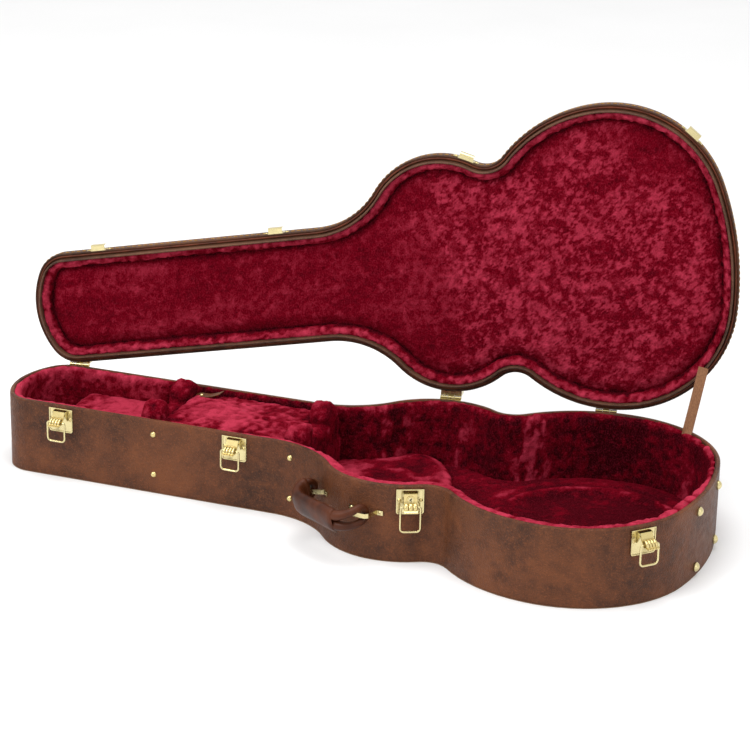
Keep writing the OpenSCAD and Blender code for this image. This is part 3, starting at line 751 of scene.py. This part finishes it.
def lid_edge():
    """Stitched binding, bead and tongue round the lid's open edge."""
    band = [(-0.1 * MM, LID_Z + 13 * MM), (-0.7 * MM, LID_Z + 12.4 * MM)]
    band += spread((-0.8 * MM, LID_Z + 11 * MM), (-0.8 * MM, LID_Z + 2.2 * MM), 4)
    band += corner(0.9 * MM, LID_Z + 1.9 * MM, 1.7 * MM, 180, 270, 5)
    band += [(2.4 * MM, LID_Z + 0.5 * MM), (2.5 * MM, LID_Z + 2 * MM)]
    o = loft("lid_edge_band", lid_rings(band, 3 * MM), BINDING_AND_RIM_SHADE_VINYL)
    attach(o, "lid")
    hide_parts("lid_binding")
    bead = corner(4.3 * MM, LID_Z + 2.0 * MM, 1.9 * MM, 170, 370, 12)
    b = loft("lid_edge_bead", lid_rings(bead, 3 * MM), BEAD)
    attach(b, "lid")
    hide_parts("lid_bead")
    low = RIM - 8 * MM
    tongue = [(6.6 * MM, LID_Z + 3 * MM), (7.7 * MM, LID_Z + 1 * MM)]
    tongue += spread((7.8 * MM, LID_Z), (7.8 * MM, low + 1.6 * MM), 3)
    tongue += corner(9.4 * MM, low + 1.6 * MM, 1.6 * MM, 180, 360, 8)
    tongue += [(11.1 * MM, LID_Z), (11.2 * MM, LID_Z + 9 * MM)]
    t = loft("lid_tongue_cover", lid_rings(tongue, 3 * MM), TONGUE)
    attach(t, "lid")
    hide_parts("lid_tongue")


def stitches():
    """Mustard thread in even stitches along the binding."""
    path = to_row(outline(1.2 * MM, -1.0 * MM))
    path = np.vstack([path, path[:1]])
    run = np.r_[0, np.cumsum(np.linalg.norm(np.diff(path, axis=0), axis=1))]
    count = int(run[-1] / (9.6 * MM))
    pitch, length, r = run[-1] / count, 7 * MM, 0.55 * MM
    verts, faces = [], []
    sides, cuts = 6, 6
    for i in range(count):
        start = len(verts)
        for k in range(cuts + 1):
            s = i * pitch + length * k / cuts
            x, y = np.interp(s, run, path[:, 0]), np.interp(s, run, path[:, 1])
            x2, y2 = np.interp(s + 1e-4, run, path[:, 0]), np.interp(s + 1e-4, run, path[:, 1])
            along = np.array([x2 - x, y2 - y]) / max(1e-9, math.hypot(x2 - x, y2 - y))
            out = np.array([-along[1], along[0]])
            bow = math.sin(math.pi * k / cuts)
            size = r * (0.35 + 0.65 * min(1.0, 2.5 * bow))
            for a in range(sides):
                w = 2 * math.pi * a / sides
                off = size * math.cos(w) + 0.25 * MM * bow
                z = LID_Z + 7.5 * MM + size * 1.3 * math.sin(w)
                verts.append((x + out[0] * off, y + out[1] * off, z))
        for k in range(cuts):
            for a in range(sides):
                b = (a + 1) % sides
                faces.append((start + k * sides + a, start + k * sides + b,
                              start + (k + 1) * sides + b, start + (k + 1) * sides + a))
        faces.append(tuple(start + a for a in range(sides))[::-1])
        faces.append(tuple(start + cuts * sides + a for a in range(sides)))
    o = new_object("lid_stitches", opened(np.array(verts)), faces, THREAD)
    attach(o, "lid")


def lid_wall_plush():
    """A soft roll of plush all round inside the lid's edge."""
    low = LID_Z + 0.5 * MM
    # (inset, height above the lid's edge)
    profile = [(10.9, 4.0), (11.0, 1.2), (11.6, -0.8), (13.2, -1.8), (15.4, -1.6), (17.6, -0.4), (19.6, 1.6),
               (21.4, 4.2), (22.8, 7.2), (23.6, 10.4), (23.8, 13.6), (23.4, 16.6), (22.0, 18.4)]
    profile = [(d * MM, low + z * MM) for d, z in profile]
    o = loft("lid_wall_plush", lid_rings(profile, 2.6 * MM), PLUSH)
    crush_and_light, tufts = pile(o, 1.2 * MM, 7 * MM, 0.9 * MM, 34 * MM, 51)
    rows = np.repeat(np.arange(len(profile)), len(o.data.vertices) // len(profile))
    shade = 1 - smoothstep(rows.astype(float), 6, 10)
    paint(o, 0.02 + 0.62 * shade + 0.12 * crush_and_light + 0.30 * tufts)
    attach(o, "lid")
    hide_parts("lid_wall_lining")


def lid_panel_plush():
    """The padded plush panel that fills the lid, tucked in at a crease round its edge."""
    o = soft_copy("lid_panel_plush", "lid_panel_lining", PLUSH, 2.9 * MM, 8)
    v = closed(coordinates(o))
    g = to_guitar(v[:, :2])
    inside = edge_distance(g)
    low, high = v[:, 2].min(), v[:, 2].max()
    under = 1 - smoothstep(v[:, 2], low + 0.001, low + 0.6 * (high - low))
    v[:, 2] -= under * (9.0 * MM * smoothstep(inside, 0.020, 0.044) - 1.0 * MM)
    set_coordinates(o, opened(v))
    crush_and_light, tufts = pile(o, 0.7 * MM, 8 * MM, 1.0 * MM, 90 * MM, 61)
    level = flat(g)
    worn = fractal(level, 190 * MM, 4, 78, 0.6) + 0.6 * smoothstep(g[:, 0], 0.02, 0.30)
    worn = smoothstep(worn, 0.25, 1.05)
    specks = np.clip(0.20 + fractal(level, 13 * MM, 5, 77, 0.90), 0, 1)
    brushed = noise(np.c_[g[:, 0] * 0.25, g[:, 1] * 1.6, level[:, 2]], 16 * MM, 79)
    crease = np.exp(-((inside - 0.023) / 0.005) ** 2)
    # the crease round the edge painted darker as shade
    paint(o, 0.42 + 0.10 * crush_and_light + 0.36 * worn * specks + 0.06 * brushed + 0.10 * tufts - 0.44 * crease)
    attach(o, "lid")


# -------------------------------- hardware from the CAD
def polish(node, material, bevel):
    """Gives a CAD piece its material and, with a modifier, slightly broken edges."""
    o = frame["nodes"][node]
    o.data.materials.clear()
    o.data.materials.append(material)
    o.data.polygons.foreach_set("use_smooth", [True] * len(o.data.polygons))
    o.data.set_sharp_from_angle(angle=math.radians(32))
    if bevel:
        m = o.modifiers.new("edges", "BEVEL")
        m.width, m.segments, m.limit_method, m.angle_limit = bevel, 2, "ANGLE", math.radians(35)
        m.harden_normals = True


def hardware():
    """The CAD's own latches, hinges, rivets, screws and pins, in brass."""
    bright = ["partition_rivets", "butt_feet", "handle_bracket_left", "handle_bracket_right", "handle_screws",
              "hinge_base_leaves", "hinge_lid_leaves", "lid_catches", "catch_rivets", "latch_rivets",
              "tab_rivet", "strap_lid_rivet", "hinge_pins", "latch_pins", "lock_plug"]
    for n in ("head", "neck", "lock", "butt"):
        bright += ["latch_plate_" + n, "lever_" + n, "bail_" + n]
    for node in bright:
        warm = node.startswith("lever") or "rivet" in node
        wire = "bail" in node or "pins" in node
        polish(node, BRASS_WARM if warm else BRASS, 0.0 if wire else 0.22 * MM)


def lever_curl(name, flutes, width, down, rest):
    """The fluted end of a latch lever, rolled over the bail's wire and turned out into a finger lip.
    `down` holds its section, (outwards, height) in mm from the lever's pivot with the lever lying flat.
    `width` is in mm, and `rest` is how many degrees the lever stands out."""
    joint = JOINTS["lever_" + name + "_lift"]
    across, pivot = -np.array(joint["axis"]), np.array(joint["pos_m"])
    out = np.cross(across, [0, 0, 1])
    c, s = math.cos(math.radians(rest)), math.sin(math.radians(rest))
    path = np.array(down) * MM
    fine = np.linspace(0, len(path) - 1, 25)
    path = np.c_[[np.interp(fine, np.arange(len(path)), path[:, k]) for k in (0, 1)]].T
    ahead = np.gradient(path, axis=0)
    ahead /= np.linalg.norm(ahead, axis=1)[:, None]
    face = np.c_[-ahead[:, 1], ahead[:, 0]]
    x = np.linspace(-width / 2, width / 2, flutes * 10 + 1) * MM
    pitch = width * MM / flutes
    swell = np.sqrt(np.clip(1 - (2 * ((x + width * MM / 2) % pitch) / pitch - 1) ** 2, 0, 1))
    swell[-1] = 0
    rings = []
    for i, (p, f) in enumerate(zip(path, face)):
        deep = 1.5 * MM * min(1.0, 0.15 + i / 5, 0.15 + (len(path) - 1 - i) / 5)
        front = [(a, *(p + f * (0.5 * MM + deep * w))) for a, w in zip(x, swell)]
        back = [(a, *(p - f * 0.5 * MM)) for a in x[::-5]]
        rings.append([pivot + a * across + (o * c - z * s) * out + (o * s + z * c) * np.array([0, 0, 1])
                      for a, o, z in front + back])
    rings = np.array(rings)
    ends = [rings[k].mean(0) + (rings[k] - rings[k].mean(0)) * 0.02 for k in (0, -1)]
    o = loft("curl_" + name, np.concatenate([ends[0][None], rings, ends[1][None]]), BRASS_WARM, flip=True)
    o.data.set_sharp_from_angle(angle=math.radians(50))
    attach(o, "lever_" + name)


def lever_curls():
    """Three plain levers standing 25 degrees out, and the lock's lever lying flat."""
    plain = [(4.4, -8.6), (6.6, -9.2), (9.2, -10.6), (11.4, -13.0), (12.2, -16.2), (11.8, -19.2),
             (12.2, -21.2), (13.8, -22.2), (16.0, -22.9)]
    locked = [(4.2, -12.4), (6.6, -12.9), (9.4, -14.4), (11.2, -17.0), (11.2, -19.8), (9.6, -22.2)]
    for name in ("head", "neck", "butt"):
        lever_curl(name, 4, 19, plain, 25)
    lever_curl("lock", 3, 20, locked, 0)


def keyway():
    """Dark sheets in the slot and pin hole of the lock's plug, as painted shade of their depth."""
    joint = JOINTS["lock_turn"]
    out, place = np.array(joint["axis"]), np.array(joint["pos_m"])
    side_on, up = np.cross([0, 0, 1], out), np.array([0, 0, 1.0])
    c, s = math.cos(math.radians(35)), math.sin(math.radians(35))
    for name, centre, half, r in (("slot", (0.0, 0.0), 1.9, 0.75), ("hole", (0.9, -2.9), 0.0, 0.8)):
        ring = [(half + r * math.cos(a), r * math.sin(a)) for a in np.radians(np.arange(-90, 91, 18))]
        ring += [(-x, -y) for x, y in ring]
        ring = [(centre[0] + x * s - y * c, centre[1] + x * c + y * s) for x, y in ring]
        rows = []
        for scale, depth in ((0.05, 1.0), (1.0, 1.0), (1.0, 1.22), (0.05, 1.22)):
            rows.append([place + (centre[0] + (x - centre[0]) * scale) * MM * side_on
                         + (centre[1] + (y - centre[1]) * scale) * MM * up + depth * MM * out
                         for x, y in ring])
        o = loft("keyway_" + name, np.array(rows), SHADOW, flip=True)
        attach(o, "lock_plug")


# -------------------------------- handle
SWING = JOINTS["handle_swing"]
HANDLE = (Matrix.Translation(SWING["pos_m"])
          @ Matrix.Rotation(math.atan2(-SWING["axis"][1], -SWING["axis"][0]), 4, "Z")
          @ Matrix.Rotation(math.radians(15), 4, "X"))
# half length, reach outwards, radius of the bends, of the eyes, of the tube and of the grip
HALF, OUT, BEND, EYE, TUBE, GRIP = (x * MM for x in (62.29, 30, 26, 12, 5.8, 8))


def from_handle(points):
    """The handle's own frame to the row frame."""
    m = np.array(HANDLE)
    return np.asarray(points) @ m[:3, :3].T + m[:3, 3]


def strand(k):
    """Middle line of one corner of the leather loop, from the grip's middle to behind the bracket.
    Each row: along, outwards, up, tube radius."""
    rows = [(x, OUT, GRIP + 0.6 * MM, GRIP) for x in np.linspace(0, HALF - BEND - 3 * MM, 8)]
    for a in np.radians(np.linspace(90, 0, 15)):
        part = 2 * a / math.pi
        rows.append((HALF - BEND + BEND * math.cos(a), OUT - BEND + BEND * math.sin(a),
                     EYE - (EYE - GRIP - 0.6 * MM) * part, TUBE + (GRIP - TUBE) * part))
    for a in np.radians(np.linspace(78, 0, 10)):
        rows.append((HALF, -EYE * math.cos(a), EYE * math.sin(a), TUBE))
    return np.array(rows) * [k, 1, 1, 1]


def handle_loop():
    """The closed ring of leather tube that both brackets hold."""
    a, b = strand(1), strand(-1)
    down = np.array([1, 1, -1, 1])
    path = np.vstack([a, (a * down)[-2:0:-1], b * down, b[-2:0:-1]])
    centre = path[:, :3] * [1, -1, 1]
    ahead = np.roll(centre, -1, 0) - np.roll(centre, 1, 0)
    ahead /= np.linalg.norm(ahead, axis=1)[:, None]
    in_eye = np.where(np.abs(path[:, :1]) > HALF - 1e-6, 1.0, 0.0)
    outer = in_eye * [[0, 1, 0]] * centre + centre * [0, 0, 1]
    u = outer - (outer * ahead).sum(1)[:, None] * ahead
    u /= np.linalg.norm(u, axis=1)[:, None]
    w = np.cross(ahead, u)
    turn = 2 * math.pi * np.arange(24) / 24
    rings = [centre + path[:, 3:] * (math.cos(t) * u + math.sin(t) * w) for t in turn]
    rings = np.array(rings).transpose(1, 0, 2)
    rings = np.concatenate([rings, rings[:1]])
    o = loft("handle_loop_leather", from_handle(rings.reshape(-1, 3)).reshape(rings.shape), LEATHER)
    v = coordinates(o)
    set_coordinates(o, v + normals(o) * (0.35 * MM * fractal(v, 16 * MM, 2, 91))[:, None])
    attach(o, "handle")
    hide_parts("handle_loop")


def sleeve_path():
    """Middle line of the wrapped part: round the left bend and along the grip.
    Each row: along, outwards, half height of the strands, their radius."""
    rows = [tuple(r[:3]) + (GRIP * 0.97,) for r in strand(-1)[8:8 + 15]][::-1]
    rows.insert(0, (-HALF, 0.5 * MM, EYE - 0.5 * MM, GRIP * 0.97))
    grip = np.linspace(-(HALF - BEND) + 3 * MM, HALF - BEND - 1 * MM, 26)
    rows += [(x, OUT, GRIP + 0.6 * MM, GRIP) for x in grip]
    rows += [tuple(r) for r in strand(1)[8:8 + 3]]
    return np.array(rows)


def handle_sleeve():
    """Smooth leather wrapped round both strands, with creases where it bends and a sewn flange below."""
    path = sleeve_path()
    n, m = len(path), 56
    ahead = np.gradient(path[:, :2], axis=0)
    ahead /= np.linalg.norm(ahead, axis=1)[:, None]
    normal = np.c_[-ahead[:, 1], ahead[:, 0]]      # towards the outside of the bend
    turn = 2 * math.pi * np.arange(m) / m
    rings = []
    ends = np.minimum(np.arange(n), n - 1 - np.arange(n))
    for i, (along, outwards, half, r) in enumerate(path):
        lip = 0.9 * MM if ends[i] == 0 else (0.4 * MM if ends[i] == 1 else 0.0)
        rr = r + 1.9 * MM - lip
        c, s = np.cos(turn), np.sin(turn)
        h = (half + rr) * np.sign(s) * np.abs(s) ** 0.80
        d = rr * np.sign(c) * np.abs(c) ** 0.85
        rings.append(np.c_[along + normal[i, 0] * d, -(outwards + normal[i, 1] * d), h])
    rings = np.array(rings)
    # both ends turned in
    for end, step in ((0, 1), (-1, -1)):
        middle = rings[end].mean(0)
        inner = middle + (rings[end] - middle) * 0.90
        rings = np.concatenate([inner[None], rings]) if step == 1 else np.concatenate([rings, inner[None]])
    o = loft("handle_sleeve_leather", from_handle(rings.reshape(-1, 3)).reshape(rings.shape), LEATHER,
             flip=True)
    v = coordinates(o)
    row = np.repeat(np.arange(len(rings)), m).astype(float)
    inner_side = np.clip(-np.cos(np.tile(turn, len(rings))), 0, 1)
    folds = sum(np.exp(-((row - k) / 0.8) ** 2) for k in (4.0, 7.5, 10.5))
    move = -1.5 * MM * folds * inner_side + 0.5 * MM * fractal(v, 20 * MM, 2, 95)
    set_coordinates(o, v + normals(o) * move[:, None])
    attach(o, "handle")
    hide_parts("handle_sleeve")
    # the sewn flange along the lower outer corner
    strip = []
    for i, (along, outwards, half, r) in enumerate(path):
        fall = -(half + r + 0.6 * MM)
        across = [(0.3 * r, 0.0), (0.4 * r, -4.0 * MM), (0.4 * r - 0.9 * MM, -4.6 * MM),
                  (0.4 * r - 1.8 * MM, -4.0 * MM), (0.3 * r - 1.8 * MM, 0.0)]
        strip.append([(along + normal[i, 0] * a, -(outwards + normal[i, 1] * a), fall + b)
                      for a, b in across])
    strip = np.array(strip)
    f = loft("handle_sleeve_seam", from_handle(strip.reshape(-1, 3)).reshape(strip.shape), LEATHER_EDGE,
             around=False)
    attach(f, "handle")


# -------------------------------- tab and strap
def ribbon(name, centres, across, width, thick, material):
    """A flat strap through the centre points, `across` giving its width direction at each."""
    centres, across = np.asarray(centres, float), np.asarray(across, float)
    ahead = np.gradient(centres, axis=0)
    ahead /= np.linalg.norm(ahead, axis=1)[:, None]
    across = across - (across * ahead).sum(1)[:, None] * ahead
    across /= np.linalg.norm(across, axis=1)[:, None]
    up = np.cross(ahead, across)
    edge, t = width / 2, thick / 2
    section = [(-edge + t, -t), (-edge, -t * 0.4), (-edge, t * 0.4), (-edge + t, t)]
    section += [(x, t) for x in np.linspace(-edge + 2 * t, edge - 2 * t, 7)]
    section += [(edge - t, t), (edge, t * 0.4), (edge, -t * 0.4), (edge - t, -t)]
    section += [(x, -t) for x in np.linspace(edge - 2 * t, -edge + 2 * t, 7)]
    rings = [c + np.array([a * x + b * y for x, y in section]) for c, a, b in zip(centres, across, up)]
    # the ends are drawn in to close them
    ends = [[centres[i] + (rings[i] - centres[i]) * k for k in (0.02, 0.6)] for i in (0, -1)]
    return loft(name, np.array(ends[0] + rings + ends[1][::-1]), material)


def stay_strap():
    """The strap that holds the lid, tucked behind the lining at both ends."""
    foot, head = np.array([514.2, 115.0, 117.0]) * MM, np.array([531.0, 166.0, 214.0]) * MM
    along = head - foot
    s = np.linspace(0, 1, 40)
    line = foot + along * s[:, None]
    line += np.sin(math.pi * s)[:, None] * np.array([0.0, -1.0, -0.5]) * 2 * MM
    below = foot + np.array([[-0.2, -1.0, -14.0], [-0.1, -0.7, -9.0], [0.0, -0.3, -4.5]]) * MM
    line = np.vstack([below, line])
    # its width follows the wall where it is tucked in, and turns towards the lid above that
    tucked, free = np.array([0.80, -0.60, 0.0]), np.array([0.956, 0.185, -0.227])
    across = np.tile(free, (len(line), 1))
    across[:3] = tucked
    across[3:9] = [tucked * (1 - k) + free * k for k in np.linspace(0.15, 1, 6)]
    o = ribbon("stay_strap_web", line, across, 16 * MM, 1.6 * MM, STRAP)
    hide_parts("stay_strap")
    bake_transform(o)


def pull_tab():
    """Leather tab whose free end has curled up."""
    node = frame["nodes"]["pull_tab"]
    o = bpy.data.objects.new("pull_tab_leather", node.data.copy())
    bpy.context.scene.collection.objects.link(o)
    o.matrix_world = node.matrix_world.copy()
    bpy.context.view_layer.update()
    o.data.transform(o.matrix_world)
    o.matrix_world = Matrix.Identity(4)
    even_skin(o, TAB, 0.7 * MM, 0.5, 3)
    v = coordinates(o)
    g = to_guitar(v[:, :2])
    start = g[:, 0].min() + 17 * MM
    k = np.clip((g[:, 0] - start) / (28 * MM), 0, 1)
    v[:, 2] += 9 * MM * k ** 1.6
    set_coordinates(o, v)
    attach(o, "accessory_lid")
    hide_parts("pull_tab")


# -------------------------------- stage, light, camera
def stage():
    """A pale floor and a white world."""
    n = Nodes("floor")
    tone = n.ramp(n.noise(2.0, 3.0), [(0.3, 0.86), (0.7, 0.88)])
    material = n.finish(tone, 0.85, n.bump(n.noise(300.0), 0.03, 0.001))
    reach, below = 30.0, -0.0005
    corners = [(x * reach, y * reach, below) for x, y in ((-1, -1), (1, -1), (1, 1), (-1, 1))]
    floor = new_object("floor", corners, [(0, 1, 2, 3)], material, False)
    world = bpy.data.worlds.new("studio")
    world.use_nodes = True
    world.node_tree.nodes["Background"].inputs["Color"].default_value = (1, 1, 1, 1)
    world.node_tree.nodes["Background"].inputs["Strength"].default_value = 1.0
    bpy.context.scene.world = world


def area(name, place, target, size, power):
    """A square light that faces the target."""
    light = bpy.data.lights.new(name, "AREA")
    light.shape, light.size, light.energy = "SQUARE", size, power
    o = bpy.data.objects.new(name, light)
    o.location = place
    o.rotation_euler = (Vector(target) - Vector(place)).to_track_quat("-Z", "Y").to_euler()
    bpy.context.scene.collection.objects.link(o)


def lights():
    middle = (0.0, 0.0, 0.15)
    area("key", (-1.8, -2.4, 2.8), middle, 1.2, 62)
    area("fill", (2.6, -2.2, 1.6), middle, 1.8, 10)
    area("top", (0.2, -0.2, 3.2), middle, 1.8, 44)


def camera():
    """Stands where the photograph's camera stood."""
    azimuth, elevation, roll = math.radians(11.18), math.radians(19.57), math.radians(1.22)
    distance, target = 3.849, Vector((0.0257, 0.0743, 0.1874))
    back = Vector((math.sin(azimuth) * math.cos(elevation), -math.cos(azimuth) * math.cos(elevation),
                   math.sin(elevation)))
    right = (-back).cross(Vector((0, 0, 1))).normalized()
    up = back.cross(right)
    r = right * math.cos(roll) + up * math.sin(roll)
    u = up * math.cos(roll) - right * math.sin(roll)
    data = bpy.data.cameras.new("camera")
    data.sensor_width, data.lens = 36.0, 117.64
    data.clip_end = 100.0
    o = bpy.data.objects.new("camera", data)
    m = Matrix((r, u, back)).transposed().to_4x4()
    m.translation = target + back * distance
    o.matrix_world = m
    bpy.context.scene.collection.objects.link(o)
    bpy.context.scene.camera = o


base_shell()
base_wall_plush()
body_floor()
bout_pad()
head_floor()
cradle("cradle_head_plush", "cradle_head", 71)
cradle("cradle_body_plush", "cradle_body", 81)
accessory_lid()
plush_coat("accessory_tray")
plush_coat("accessory_board")
lid_shell()
lid_edge()
stitches()
lid_wall_plush()
lid_panel_plush()
hardware()
lever_curls()
keyway()
handle_loop()
handle_sleeve()
stay_strap()
pull_tab()
stage()
lights()
camera()
bpy.context.scene.view_settings.view_transform = "Standard"
